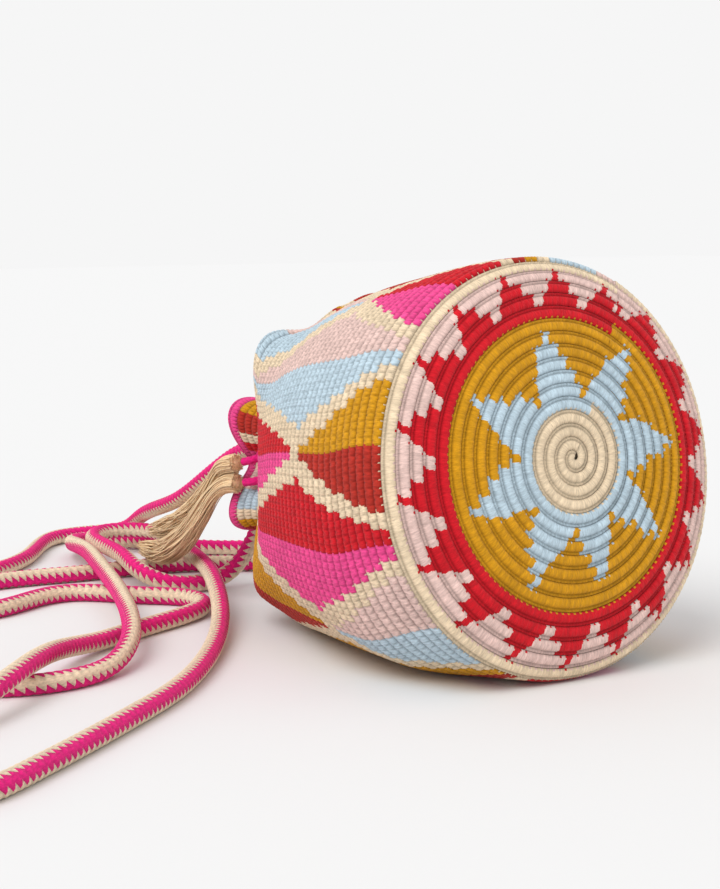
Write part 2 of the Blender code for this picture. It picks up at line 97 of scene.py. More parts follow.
# %% Values of the light and the floor
FLOOR_SIZE = 12.0
BACKGROUND = 0.922
SKY = 0.80
SUN = 1.55
SUN_WIDTH = 38.0
SUN_FROM = (-0.70, -0.27, 0.85)
FLOOR_SHADE = 0.80
WHITE = (1.0, 1.0, 1.0, 1.0)


def linear(colour):
    """Display values as the linear ones that shaders use."""
    return tuple(v / 12.92 if v <= 0.04045 else ((v + 0.055) / 1.055) ** 2.4 for v in colour)


# %% Floor
def make_floor():
    bpy.ops.mesh.primitive_plane_add(size=FLOOR_SIZE, location=(0.0, 0.0, 0.0))
    floor = bpy.context.object
    floor.name = "floor"
    material = bpy.data.materials.new("studio_floor")
    material.use_nodes = True
    shader = material.node_tree.nodes["Principled BSDF"]
    shader.inputs["Base Color"].default_value = (FLOOR_SHADE, FLOOR_SHADE, FLOOR_SHADE, 1.0)
    shader.inputs["Roughness"].default_value = 1.0
    shader.inputs["Specular IOR Level"].default_value = 0.0
    floor.data.materials.append(material)


make_floor()
print("floor:", FLOOR_SIZE, "m wide")

# %% Light
def make_light():
    sun = bpy.data.lights.new("window_light", "SUN")
    sun.energy = SUN
    sun.angle = math.radians(SUN_WIDTH)
    lamp = bpy.data.objects.new("window_light", sun)
    lamp.rotation_euler = Vector(SUN_FROM).to_track_quat("Z", "Y").to_euler()
    bpy.context.scene.collection.objects.link(lamp)
    world = bpy.data.worlds.new("studio")
    bpy.context.scene.world = world
    world.use_nodes = True
    nodes = world.node_tree.nodes
    links = world.node_tree.links
    sky = nodes["Background"]
    sky.inputs["Color"].default_value = WHITE
    sky.inputs["Strength"].default_value = SKY
    seen = nodes.new("ShaderNodeBackground")
    seen.inputs["Color"].default_value = WHITE
    seen.inputs["Strength"].default_value = BACKGROUND
    ray = nodes.new("ShaderNodeLightPath")
    mix = nodes.new("ShaderNodeMixShader")
    links.new(ray.outputs["Is Camera Ray"], mix.inputs["Fac"])
    links.new(sky.outputs["Background"], mix.inputs[1])
    links.new(seen.outputs["Background"], mix.inputs[2])
    links.new(mix.outputs["Shader"], nodes["World Output"].inputs["Surface"])


make_light()
print("sun", SUN, "and sky", SKY)

# %% [markdown]
# ## Yarn
#
# The bag, the cords and the tassels are all of matt cotton, with fine fibres that catch the light. A
# picture of yarn could give that, but it would blur near by. So one shader group makes fibres that follow
# each stitch, and a second one picks a braid's two colours from the place round the cord and along it. The
# yarn's own colour comes with the mesh, cell by cell, darkened point by point by painted shade in the
# hollows of stitches, braids and ridges.

# %% Help for shader groups
def group_tree(name, ins, outs):
    """An empty shader group with named sockets, and its input and output nodes."""
    tree = bpy.data.node_groups.new(name, "ShaderNodeTree")
    for kind, label, value in ins:
        socket = tree.interface.new_socket(name=label, in_out="INPUT", socket_type=kind)
        socket.default_value = value
    for kind, label in outs:
        tree.interface.new_socket(name=label, in_out="OUTPUT", socket_type=kind)
    return tree, tree.nodes.new("NodeGroupInput"), tree.nodes.new("NodeGroupOutput")


def sum_up(tree, operation, *values):
    """One Math node, fed by sockets or plain numbers."""
    node = tree.nodes.new("ShaderNodeMath")
    node.operation = operation
    for socket, value in zip(node.inputs, values):
        if isinstance(value, (int, float)):
            socket.default_value = value
        else:
            tree.links.new(value, socket)
    return node.outputs[0]


# %% Fibres of the yarn
def fibre_group():
    """Fine light and dark fibres along a stitch, with a bump of the same fibres, and broad faint patches."""
    tree, given, made = group_tree(
        "yarn_fibres",
        [("NodeSocketFloat", "Across", 9.0), ("NodeSocketFloat", "Along", 2.5),
         ("NodeSocketFloat", "Depth", 0.0004)],
        [("NodeSocketFloat", "Shade"), ("NodeSocketVector", "Normal")])
    place = tree.nodes.new("ShaderNodeUVMap")
    place.uv_map = "stitch"
    stretch = tree.nodes.new("ShaderNodeCombineXYZ")
    tree.links.new(given.outputs["Across"], stretch.inputs["X"])
    tree.links.new(given.outputs["Along"], stretch.inputs["Y"])
    scaled = tree.nodes.new("ShaderNodeVectorMath")
    scaled.operation = "MULTIPLY"
    tree.links.new(place.outputs["UV"], scaled.inputs[0])
    tree.links.new(stretch.outputs["Vector"], scaled.inputs[1])
    fibres = tree.nodes.new("ShaderNodeTexNoise")
    fibres.inputs["Scale"].default_value = 1.0
    fibres.inputs["Detail"].default_value = 4.0
    fibres.inputs["Roughness"].default_value = 0.65
    tree.links.new(scaled.outputs["Vector"], fibres.inputs["Vector"])
    body = tree.nodes.new("ShaderNodeTexCoord")
    patches = tree.nodes.new("ShaderNodeTexNoise")
    patches.inputs["Scale"].default_value = 45.0
    patches.inputs["Detail"].default_value = 2.0
    tree.links.new(body.outputs["Object"], patches.inputs["Vector"])
    fine = sum_up(tree, "MULTIPLY_ADD", fibres.outputs["Fac"], 1.2, 0.40)
    broad = sum_up(tree, "MULTIPLY_ADD", patches.outputs["Fac"], 0.20, 0.90)
    tree.links.new(sum_up(tree, "MULTIPLY", fine, broad), made.inputs["Shade"])
    bump = tree.nodes.new("ShaderNodeBump")
    bump.inputs["Strength"].default_value = 0.8
    tree.links.new(given.outputs["Depth"], bump.inputs["Distance"])
    tree.links.new(fibres.outputs["Fac"], bump.inputs["Height"])
    tree.links.new(bump.outputs["Normal"], made.inputs["Normal"])
    return tree


# %% Columns of a braid
def braid_group():
    """Which of a braid's two colours shows: columns along the cord, with edges toothed by its stitches."""
    tree, given, made = group_tree(
        "braid_columns",
        [("NodeSocketFloat", "Teeth", 0.55)],
        [("NodeSocketFloat", "Second")])
    place = tree.nodes.new("ShaderNodeUVMap")
    place.uv_map = "stitch"
    parts = tree.nodes.new("ShaderNodeSeparateXYZ")
    tree.links.new(place.outputs["UV"], parts.inputs["Vector"])
    tooth = sum_up(tree, "SUBTRACT", sum_up(tree, "FRACT", parts.outputs["Y"]), 0.5)
    moved = sum_up(tree, "ADD", parts.outputs["X"], sum_up(tree, "MULTIPLY", tooth, given.outputs["Teeth"]))
    column = sum_up(tree, "FRACT", sum_up(tree, "MULTIPLY", moved, 0.5))
    tree.links.new(sum_up(tree, "GREATER_THAN", column, 0.5), made.inputs["Second"])
    return tree


# %% Yarn material
FIBRES = fibre_group()
BRAID_COLUMNS = braid_group()
BRAID_TEETH = 0.55


def yarn_material(name, braided=None, across=4.5, along=1.6, depth=0.0007):
    """Matt cotton. Its colour, painted shade included, is the mesh's own; a braid's two colours multiply it.
    """
    material = bpy.data.materials.new(name)
    material.use_nodes = True
    tree = material.node_tree
    shader = tree.nodes["Principled BSDF"]
    shader.inputs["Roughness"].default_value = 0.92
    shader.inputs["Specular IOR Level"].default_value = 0.10
    shader.inputs["Sheen Weight"].default_value = 0.08
    shader.inputs["Sheen Roughness"].default_value = 0.55
    fibres = tree.nodes.new("ShaderNodeGroup")
    fibres.node_tree = FIBRES
    fibres.inputs["Across"].default_value = across
    fibres.inputs["Along"].default_value = along
    fibres.inputs["Depth"].default_value = depth
    tint = tree.nodes.new("ShaderNodeAttribute")
    # The mesh's colour attribute: the yarn's colour with painted shade in the hollows.
    tint.attribute_name = "yarn_colour_and_shade"
    base = tint.outputs["Color"]
    if braided:
        columns = tree.nodes.new("ShaderNodeGroup")
        columns.node_tree = BRAID_COLUMNS
        columns.inputs["Teeth"].default_value = BRAID_TEETH
        pick = tree.nodes.new("ShaderNodeMix")
        pick.data_type = "RGBA"
        tree.links.new(columns.outputs["Second"], pick.inputs["Factor"])
        for side, colour in zip("AB", braided):
            pick.inputs[side].default_value = (*linear(colour), 1.0)
        shade = tree.nodes.new("ShaderNodeVectorMath")
        shade.operation = "MULTIPLY"
        tree.links.new(pick.outputs["Result"], shade.inputs[0])
        tree.links.new(base, shade.inputs[1])
        base = shade.outputs["Vector"]
    toned = tree.nodes.new("ShaderNodeVectorMath")
    toned.operation = "SCALE"
    tree.links.new(base, toned.inputs[0])
    tree.links.new(fibres.outputs["Shade"], toned.inputs["Scale"])
    tree.links.new(toned.outputs["Vector"], shader.inputs["Base Color"])
    tree.links.new(fibres.outputs["Normal"], shader.inputs["Normal"])
    return material


# %% Colours of the yarn
YARN = {
    "cream": (0.907, 0.821, 0.698), "blue": (0.735, 0.812, 0.857), "mustard": (0.817, 0.582, 0.101),
    "red": (0.803, 0.104, 0.152), "pink": (0.888, 0.763, 0.728), "brick": (0.709, 0.191, 0.148),
    "magenta": (0.930, 0.297, 0.568)}
BRAID_MAGENTA = (0.900, 0.130, 0.490)
BRAID_CREAM = (0.915, 0.830, 0.715)
THREAD = (0.960, 0.840, 0.670)
stitches = yarn_material("crochet_yarn")
braid = yarn_material("strap_braid", (BRAID_MAGENTA, BRAID_CREAM), across=7.0)
string = yarn_material("drawstring_braid", across=5.0)
print("yarn colours:", ", ".join(YARN))

# %% [markdown]
# ## Making meshes from strips
#
# Crochet, braids and threads are all rows of small forms. Modelling one stitch and repeating it would
# break where the rounds widen or bend, so each row is worked out as a whole. It is a strip: a grid of
# points with a painted shade for each point, a colour for each cell, and each point's place in stitches,
# which the yarn's shader reads. The painted shade darkens the colour where the yarn lies low.

# %% Strips into a mesh
def sew(name, strips, material, slot):
    """One mesh from a list of (points, painted shade, colour, place) strips."""
    points, faces, colours, places, start = [], [], [], [], 0
    for grid, shade, colour, place in strips:
        rows, columns = grid.shape[:2]
        index = start + np.arange(rows * columns).reshape(rows, columns)
        corners = [index[:-1, :-1], index[1:, :-1], index[1:, 1:], index[:-1, 1:]]
        quads = np.stack(corners, axis=2).reshape(-1, 4)
        # Painted shade: each corner's colour is its cell's colour times the shade at its point.
        tint = shade.reshape(-1)[quads - start][..., None] * colour.reshape(-1, 1, 3)
        points.append(grid.reshape(-1, 3))
        faces.append(quads)
        colours.append(np.concatenate([tint, np.ones_like(tint[..., :1])], axis=2).reshape(-1, 4))
        places.append(place.reshape(-1, 2)[quads - start].reshape(-1, 2))
        start += rows * columns
    return build_mesh(name, *map(np.concatenate, (points, faces, colours, places)), material, slot)


# %% Mesh from points, faces, colours and places
def build_mesh(name, points, faces, colours, places, material, slot):
    mesh = bpy.data.meshes.new(name)
    mesh.vertices.add(len(points))
    mesh.vertices.foreach_set("co", np.ascontiguousarray(points, np.float32).ravel())
    mesh.loops.add(faces.size)
    mesh.loops.foreach_set("vertex_index", faces.astype(np.int32).ravel())
    mesh.polygons.add(len(faces))
    mesh.polygons.foreach_set("loop_start", np.arange(0, faces.size, faces.shape[1], dtype=np.int32))
    mesh.polygons.foreach_set("loop_total", np.full(len(faces), faces.shape[1], np.int32))
    mesh.update(calc_edges=True)
    mesh.polygons.foreach_set("use_smooth", np.ones(len(faces), bool))
    # Corner colours with the painted shade multiplied in.
    tint = mesh.color_attributes.new("yarn_colour_and_shade", "FLOAT_COLOR", "CORNER")
    tint.data.foreach_set("color", colours.astype(np.float32).ravel())
    mesh.uv_layers.new(name="stitch").data.foreach_set("uv", places.astype(np.float32).ravel())
    mesh.materials.append(material)
    obj = bpy.data.objects.new(name, mesh)
    bpy.context.scene.collection.objects.link(obj)
    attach(obj, "root")
    print(name, len(faces) * (faces.shape[1] - 2), "triangles")
    return obj


# %% [markdown]
# ## Strap
#
# The strap is one thick braid of four columns, magenta and cream by turns, with both ends sewn inside the
# mouth. It lies in loops that pass over each other. A simulated rope would fall in loops of its own, so
# the route is the measured model's, with points chosen over the photograph. `led_curve` reads the
# smooth curve that these points lead.

# %% Strap route
STRAP_DIAMETER = 0.0106
LAID = 0.0056
OVER = 0.0172
STRAP_ROUTE = (
    # Sewn inside the mouth, then down over the tassels to the floor.
    (-0.0285, 0.2310, 0.0920),
    (-0.0268, 0.2440, 0.0935),
    (-0.0225, 0.2620, 0.0945),
    (-0.0200, 0.2870, 0.0890),
    (-0.0200, 0.3250, 0.0690),
    (-0.0170, 0.3700, 0.0460),
    (-0.0110, 0.4190, 0.0345),
    (-0.0040, 0.4540, 0.0225),
    (0.0020, 0.4810, 0.0095),
    (-0.0120, 0.5080, LAID),
    (-0.0460, 0.5080, LAID),
    (-0.0720, 0.4760, LAID),
    (-0.0990, 0.4340, LAID),
    (-0.1350, 0.4060, LAID),
    # First wide turn on the floor.
    (-0.1780, 0.3900, LAID),
    (-0.2250, 0.3680, LAID),
    (-0.2640, 0.3300, LAID),
    (-0.2890, 0.2800, LAID),
    (-0.3000, 0.2230, LAID),
    (-0.2950, 0.1680, LAID),
    (-0.2760, 0.1320, LAID),
    (-0.2480, 0.1140, LAID),
    (-0.2180, 0.1130, LAID),
    (-0.1910, 0.1250, LAID),
    (-0.1680, 0.1480, 0.0130),
    # Back over the other loops, and round at the far end.
    (-0.1500, 0.1850, OVER),
    (-0.1310, 0.2300, OVER),
    (-0.1130, 0.2790, OVER),
    (-0.0960, 0.3300, OVER),
    (-0.0800, 0.3760, OVER),
    (-0.0690, 0.4150, 0.0150),
    (-0.0600, 0.4520, 0.0110),
    (-0.0340, 0.4740, 0.0080),
    (-0.0040, 0.4580, LAID),
    (0.0090, 0.4280, LAID),
    (0.0270, 0.4010, LAID),
    (0.0500, 0.3870, LAID),
    (0.0760, 0.3720, LAID),
    (0.0820, 0.3420, LAID),
    (0.0610, 0.3210, LAID),
    (0.0330, 0.3270, LAID),
    (0.0060, 0.3480, LAID),
    (-0.0230, 0.3620, LAID),
    (-0.0540, 0.3670, LAID),
    (-0.0830, 0.3670, LAID),
    (-0.1120, 0.3720, LAID),
    (-0.1400, 0.3760, LAID),
    # Second turn, and the small loop near the mouth.
    (-0.1700, 0.3720, LAID),
    (-0.2020, 0.3590, LAID),
    (-0.2220, 0.3310, LAID),
    (-0.2160, 0.3010, LAID),
    (-0.1900, 0.2900, LAID),
    (-0.1650, 0.3020, LAID),
    (-0.1420, 0.3160, LAID),
    (-0.1200, 0.3160, LAID),
    (-0.1040, 0.2970, LAID),
    (-0.0890, 0.2790, LAID),
    (-0.0700, 0.2640, LAID),
    (-0.0700, 0.2370, LAID),
    (-0.0910, 0.2190, LAID),
    (-0.1180, 0.2080, LAID),
    (-0.1470, 0.1950, LAID),
    (-0.1740, 0.1810, LAID),
    (-0.2060, 0.1560, 0.0120),
    (-0.2400, 0.1160, 0.0190),
    (-0.2770, 0.0800, 0.0160),
    # Third turn, and the long curve at the front.
    (-0.3160, 0.0560, 0.0080),
    (-0.3500, 0.0300, LAID),
    (-0.3740, -0.0020, LAID),
    (-0.3700, -0.0350, LAID),
    (-0.3400, -0.0440, LAID),
    (-0.3060, -0.0210, LAID),
    (-0.2660, 0.0060, LAID),
    (-0.2250, 0.0360, LAID),
    (-0.1840, 0.0665, LAID),
    (-0.1400, 0.1150, LAID),
    (-0.1010, 0.1680, 0.0080),
    (-0.0740, 0.2170, 0.0155),
    (-0.0490, 0.2720, 0.0195),
    (-0.0280, 0.3280, OVER),
    (-0.0140, 0.3800, OVER),
    (-0.0030, 0.4100, OVER),
    (-0.0090, 0.4390, OVER),
    (-0.0360, 0.4490, OVER),
    (-0.0580, 0.4240, OVER),
    (-0.0620, 0.3840, OVER),
    (-0.0680, 0.3480, OVER),
    (-0.0765, 0.3180, 0.0135),
    (-0.0660, 0.2950, 0.0070),
    (-0.0410, 0.2940, LAID),
    (-0.0210, 0.2950, 0.0080),
    (-0.0105, 0.2840, 0.0290),
    (-0.0090, 0.2680, 0.0560),
    (-0.0085, 0.2490, 0.0670),
    (-0.0083, 0.2310, 0.0621),
)


# %% Lines along a route
def run_along(points):
    """Distance from the first point, along the line, to each of its points."""
    return np.r_[0.0, np.cumsum(np.linalg.norm(np.diff(points, axis=0), axis=1))]


def spread(line, step):
    """The line's points read again at an even step."""
    run = run_along(line)
    at = np.linspace(0.0, run[-1], max(int(round(run[-1] / step)), 2) + 1)
    return np.stack([np.interp(at, run, line[:, k]) for k in range(line.shape[1])], axis=1)


def led_curve(points, step):
    """Points a step apart along the smooth curve that the route's points lead."""
    p = np.asarray(points, float)
    p = np.vstack([2 * p[0] - p[1], p, 2 * p[-1] - p[-2]])
    u = np.linspace(0.0, 1.0, 24, endpoint=False)[:, None]
    weights = ((1 - u) ** 3, 3 * u ** 3 - 6 * u ** 2 + 4, -3 * u ** 3 + 3 * u ** 2 + 3 * u + 1, u ** 3)
    runs = [sum(w * p[i + k] for k, w in enumerate(weights)) / 6 for i in range(len(p) - 3)]
    return spread(np.vstack([*runs, p[-2:-1]]), step)


def in_frame(points):
    """Route points are measured from the base plane: this moves them to the model's place."""
    return np.asarray(points, float) + (0.0, AXIS_SHIFT, 0.0)


STITCH_STEPS = 5
STRAP_PITCH = 0.0050
strap_line = led_curve(in_frame(STRAP_ROUTE), STRAP_PITCH / STITCH_STEPS)

# %% [markdown]
# Each column of the braid is a row of plump slanted stitches. Four twisted curves would show the strands
# too, but they would cut through each other at the bends. So the cord is one skin, whose height is set
# round and along it, and the columns turn slowly, as the strap lies twisted here and there.

# %% Grids round a line
def across_path(line):
    """Two directions square to a line at each of its points."""
    run = np.gradient(line, axis=0)
    run /= np.linalg.norm(run, axis=1, keepdims=True)
    side = np.cross(run, (0.0, 0.0, 1.0))
    side /= np.linalg.norm(side, axis=1, keepdims=True)
    return side, np.cross(side, run)


def cord_grid(line, angles, height):
    """A grid of points round a line: one row for each point of the line, one column for each angle."""
    side, up = across_path(line)
    out = side[:, None] * np.cos(angles)[..., None] + up[:, None] * np.sin(angles)[..., None]
    return line[:, None] + out * height[..., None]


# %% Braided cord
COLUMNS = 4
UNDYED = (1.0, 1.0, 1.0)


def braid_cord(name, line, diameter, pitch, sides, twist, dye, material, slot):
    """A four-column braid round the line, with closed ends. Its dye multiplies the material's colours."""
    along = run_along(line) / pitch
    turn = np.linspace(0.0, COLUMNS, sides + 1)
    column, stitch = np.meshgrid(turn, along)
    tooth = (stitch % 1.0 - 0.5) * BRAID_TEETH
    across = 2 * ((column + tooth) % 1.0) - 1
    chevron = (stitch + 0.55 * np.abs(across)) % 1.0
    strand = np.sin(np.pi * chevron) ** 0.7
    raised = (1 - 0.8 * np.abs(across) ** 3) * (0.55 + 0.45 * strand)
    height = diameter / 2 * (0.82 + 0.22 * raised)
    angles = column * 2 * np.pi / COLUMNS + np.radians(twist(along / along[-1]))[:, None]
    grid = cord_grid(line, angles, height)
    # Painted shade: the cord's colour is darker in the hollows between strands and columns.
    shade = 0.55 + 0.50 * raised
    ends = [np.repeat(line[k][None, None], sides + 1, axis=1) for k in (0, -1)]
    grid = np.concatenate([ends[0], grid, ends[1]])
    shade = np.concatenate([shade[:1], shade, shade[-1:]])
    place = np.stack([column, stitch], axis=2)
    place = np.concatenate([place[:1], place, place[-1:]])
    colour = np.broadcast_to(dye, (grid.shape[0] - 1, sides, 3))
    return sew(name, [(grid, shade, colour, place)], material, slot)


# %% Strap
STRAP_SIDES = 24
STRAP_TWIST = (
    (0.00, 115), (0.07, 115), (0.10, 75), (0.25, 70), (0.28, 105), (0.30, 135), (0.35, 140), (0.37, 190),
    (0.42, 190), (0.45, 170), (0.52, 168), (0.55, 250), (0.59, 250), (0.61, 275), (0.66, 290), (0.71, 320),
    (0.73, 345), (0.79, 351), (0.81, 360), (0.83, 375), (0.85, 395), (0.87, 420), (0.90, 420), (0.93, 395),
    (0.95, 370), (0.97, 345), (1.00, 345))


def strap_twist(share):
    """Degrees by which the columns are turned, for a share of the strap's length."""
    return np.interp(share, [k for k, _ in STRAP_TWIST], [v for _, v in STRAP_TWIST])


strap = braid_cord("strap_braided", strap_line, STRAP_DIAMETER, STRAP_PITCH, STRAP_SIDES, strap_twist, UNDYED,
                   braid, "strap_braid")
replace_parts(strap, "strap")

# %% [markdown]
# ## Form of the bag
#
# The soft bag lies on its side: it widens, leans, sags flat on the floor and gathers at the neck. A cloth
# simulation could find such a form, but each stitch has to know its place on it. So the form is a formula:
# one outline is turned about the bag's axis and then laid down. The tables repeat the measured model's
# own.

# %% Form of the bag
NECK = 0.2200
NECK_RADIUS = 0.0460
NECK_HEIGHT = 0.0880
# Radius and place along the bag, over the base.
BASE_OUTLINE = np.array([
    (0.0, -0.0165), (0.0385, -0.0155), (0.0765, -0.0110), (0.0975, -0.0065), (0.1095, 0.0010)])
# Place along the bag, half width, half height, height of the middle, and how square the section is.
SECTIONS = np.array([
    (-0.0185, 0.1090, 0.1068, 0.1178, 0.00), (0.0010, 0.1095, 0.1082, 0.1100, 0.02),
    (0.0110, 0.1112, 0.1085, 0.1088, 0.04), (0.0220, 0.1118, 0.1080, 0.1078, 0.06),
    (0.0400, 0.1112, 0.1070, 0.1060, 0.06), (0.0700, 0.1085, 0.1045, 0.1035, 0.06),
    (0.1000, 0.1025, 0.1020, 0.1010, 0.07), (0.1300, 0.0935, 0.0985, 0.0975, 0.09),
    (0.1600, 0.0815, 0.0940, 0.0930, 0.14), (0.1850, 0.0690, 0.0895, 0.0935, 0.20),
    (0.2020, 0.0580, 0.0825, 0.0955, 0.24), (0.2090, 0.0510, 0.0620, 0.0925, 0.12),
    (0.2145, 0.0465, 0.0475, 0.0885, 0.00), (0.2200, 0.0460, 0.0460, 0.0880, 0.00),
    (0.2280, 0.0465, 0.0465, 0.0880, 0.00), (0.2440, 0.0490, 0.0490, 0.0880, 0.00)])
LEAN = math.tan(math.radians(9.3))
LEAN_ENDS = 0.170
SAG, SAG_START, SAG_FULL, SAG_FADES, SAG_END = 0.28, 0.004, 0.054, 0.185, 0.212
PLEATS, PLEATS_START, NECK_PLEAT, RIM_PLEAT = 5, 0.150, 0.0090, 0.0120
WALL, RUFFLE_WALL = 0.0032, 0.0046
CORNER = BASE_OUTLINE[-1]


# %% Smooth curves
def ease(value):
    """A smooth step from 0 to 1."""
    value = np.clip(value, 0.0, 1.0)
    return value * value * (3.0 - 2.0 * value)


def through(xs, ys, x):
    """A smooth curve through the points (xs, ys), read at x."""
    slopes = np.gradient(ys, xs)
    i = np.clip(np.searchsorted(xs, x) - 1, 0, len(xs) - 2)
    step = xs[i + 1] - xs[i]
    u = np.clip((x - xs[i]) / step, 0.0, 1.0)
    ends = ys[i] * (1 + 2 * u) * (1 - u) ** 2 + ys[i + 1] * u * u * (3 - 2 * u)
    return ends + step * (slopes[i] * u * (1 - u) ** 2 - slopes[i + 1] * u * u * (1 - u))


# %% A place on the bag
def pleat(t, angle):
    """How far the gathered fold pushes the wall out."""
    neck = NECK_PLEAT * ease((t - PLEATS_START) / (NECK - PLEATS_START))
    rim = (RIM_PLEAT - NECK_PLEAT) * ease((t - NECK) / (RIM - NECK))
    return (neck + rim) * np.cos(PLEATS * angle)


def laid_down(radius, angle, t, lowest=0.0):
    """Where a point of the turned bag lies once the bag is on its side."""
    places, *measures = SECTIONS.T
    half_width, half_height, middle, square = [through(places, measure, t) for measure in measures]
    radius = radius + pleat(t, angle) * radius / half_width
    sag = SAG * ease((t - SAG_START) / (SAG_FULL - SAG_START))
    sag = sag * (1 - ease((t - SAG_FADES) / (SAG_END - SAG_FADES)))
    power = 1 - square - np.where(np.sin(angle) < 0, sag, 0.0)
    x = radius * np.copysign(np.abs(np.cos(angle)) ** power, np.cos(angle))
    rise = radius * np.copysign(np.abs(np.sin(angle)) ** power, np.sin(angle)) * half_height / half_width
    z = np.maximum(middle + rise, lowest)
    y = t + LEAN * (z - middle) * (1 - ease(t / LEAN_ENDS)) + AXIS_SHIFT
    return np.stack([x, y, z], axis=-1)


# %% [markdown]
# ## Rounds and stitches
#
# The work is one spiral: sixteen rounds for the base and forty-three for the wall and the ruffle. It could
# be a stack of closed rings, but then the little step where a round begins would be missing. A place in
# the spiral is a number of rounds and an angle. `outer` turns that into a point of the bag, and `facing`
# gives the direction in which a stitch stands up there.
#
# Stitches are equally wide all the way round, also where the section is flat or sags. `even_turns`
# therefore finds, for every depth, which angle of the form stands at which share of the way round.

# %% Rounds
BASE_ROUNDS = 16
WALL_ROUNDS = 43
ROUNDS = BASE_ROUNDS + WALL_ROUNDS
SPIRAL_START = math.radians(60)
BASE_STEPS = 400
WALL_STEPS = 900


def outline_in_rounds():
    """The bag's outline, with the number of rounds done at each of its points."""
    radii = np.linspace(0.0, CORNER[0], BASE_STEPS)
    base = np.stack([radii, through(BASE_OUTLINE[:, 0], BASE_OUTLINE[:, 1], radii)], axis=1)
    depths = np.linspace(CORNER[1], RIM, WALL_STEPS)
    wall = np.stack([through(SECTIONS[:, 0], SECTIONS[:, 1], depths), depths], axis=1)
    run_base = run_along(base)
    run_wall = run_along(wall)
    done_base = run_base / run_base[-1] * BASE_ROUNDS
    done_wall = BASE_ROUNDS + run_wall[1:] / run_wall[-1] * WALL_ROUNDS
    return np.r_[done_base, done_wall], np.vstack([base, wall[1:]])


DONE, OUTLINE = outline_in_rounds()
print("rounds:", ROUNDS, "over", round(float(run_along(OUTLINE)[-1]), 3), "m of outline")

# %% Even stitches
TURN_DEPTHS = np.linspace(BASE_OUTLINE[0, 1], RIM, 90)
TURN_STEPS = 720
TURN_ANGLES = np.linspace(0.0, 2 * np.pi, TURN_STEPS + 1)
TOP = TURN_STEPS // 4
BOTTOM = 3 * TURN_STEPS // 4


def even_turns():
    """For each depth, the form's angles at even steps of the way round, from the top and the bottom."""
    table = []
    for depth in TURN_DEPTHS:
        half = through(SECTIONS[:, 0], SECTIONS[:, 1], depth)
        section = laid_down(np.full(TURN_STEPS + 1, half), TURN_ANGLES, np.full(TURN_STEPS + 1, depth))
        run = run_along(section[:, [0, 2]])
        top, bottom, whole = run[TOP], run[BOTTOM], run[-1]
        right = whole - bottom + top
        share = np.where(run < top, 0.5 - (top - run) / right, 0.5 + (run - top) / (bottom - top))
        share = np.where(run > bottom, 1.5 + (run - bottom) / right, share)
        shares = np.r_[share - 2, share, share + 2] * np.pi
        angles = np.r_[TURN_ANGLES - 2 * np.pi, TURN_ANGLES, TURN_ANGLES + 2 * np.pi]
        table.append(np.interp(TURN_ANGLES, shares, angles))
    return np.array(table)


EVEN_TURNS = even_turns()


def form_angle(angle, t):
    """The form's angle for an angle that is counted in even stitches."""
    turns, angle = np.divmod(angle, 2 * np.pi)
    row = np.clip(np.interp(t, TURN_DEPTHS, np.arange(len(TURN_DEPTHS))), 0, len(TURN_DEPTHS) - 1.001)
    column = np.clip(angle / (2 * np.pi) * TURN_STEPS, 0, TURN_STEPS - 0.001)
    i, j = row.astype(int), column.astype(int)
    u, v = row - i, column - j
    near = EVEN_TURNS[i, j] * (1 - v) + EVEN_TURNS[i, j + 1] * v
    far = EVEN_TURNS[i + 1, j] * (1 - v) + EVEN_TURNS[i + 1, j + 1] * v
    return near * (1 - u) + far * u + turns * 2 * np.pi


# %% Places in the spiral
FAINT = 1e-4
SHORT = 0.01
AWAY_FROM_ENDS = 0.02


def on_outline(done):
    """Radius and place along the bag, for a number of rounds."""
    return np.interp(done, DONE, OUTLINE[:, 0]), np.interp(done, DONE, OUTLINE[:, 1])


def outer(done, angle):
    """Points of the bag's outer face."""
    radius, t = on_outline(np.clip(done, 0.0, ROUNDS))
    return laid_down(radius, form_angle(angle, t), t)


def facing(done, angle):
    """Unit directions out of the bag's outer face."""
    done = np.clip(done, AWAY_FROM_ENDS, ROUNDS - AWAY_FROM_ENDS)
    over = outer(done, angle + FAINT) - outer(done, angle - FAINT)
    down = outer(done + SHORT, angle) - outer(done - SHORT, angle)
    out = np.cross(down, over)
    return out / np.maximum(np.linalg.norm(out, axis=-1, keepdims=True), 1e-15)


def round_places(number, count, columns, rows):
    """Grid over one round of the spiral: rounds done, angle, and place across the round."""
    share = np.linspace(0.0, 1.0, count * columns + 1)
    turn, across = np.meshgrid(share, np.linspace(0.0, 1.0, rows + 1))
    angle = SPIRAL_START + 2 * np.pi * turn
    done = np.clip(number + across + turn - 0.5, 0.0, ROUNDS)
    return done, angle, across


# %% [markdown]
# ## Pattern
#
# The base has a cream middle, a blue ring whose eight points make a star on mustard, a mustard and a red
# round, and a stepped border. The wall has seven split gems, kites between them and gems behind, with
# cream bands between. Such a pattern is counted, so it is not a picture: in the base by stitches in each
# round, and on the wall by the angle and the distance from the base. Each stitch then has one colour.

# %% Pattern of the base
# Turns and drifts are in degrees. The star's points drift to one side, as the stitches of its rounds do.
STAR_FROM, STAR_POINTS, STAR_TURN = 5, 8, 32.9
STAR_DRIFT, STAR_DRIFT_AT = 6.8, 29.0
STAR_STITCHES = (7, 9, 10, 12, 13)
STAR_BLUE = (6, 6, 4, 3, 1)
BORDER_FROM, BORDER_TEETH, BORDER_TURN = 12, 18, -6.0
BORDER_STITCHES = (9, 9, 9)
BORDER_RED = (7, 4, 1)


def split(number, angle, first, repeats, turn, stitches, shown):
    """Whether a stitch belongs to the colour that is centred on the borders between the repeats."""
    share = (angle + turn) / 360 * repeats % 1
    count = stitches[number - first]
    return abs(share - 0.5) > (count - shown[number - first]) / count / 2


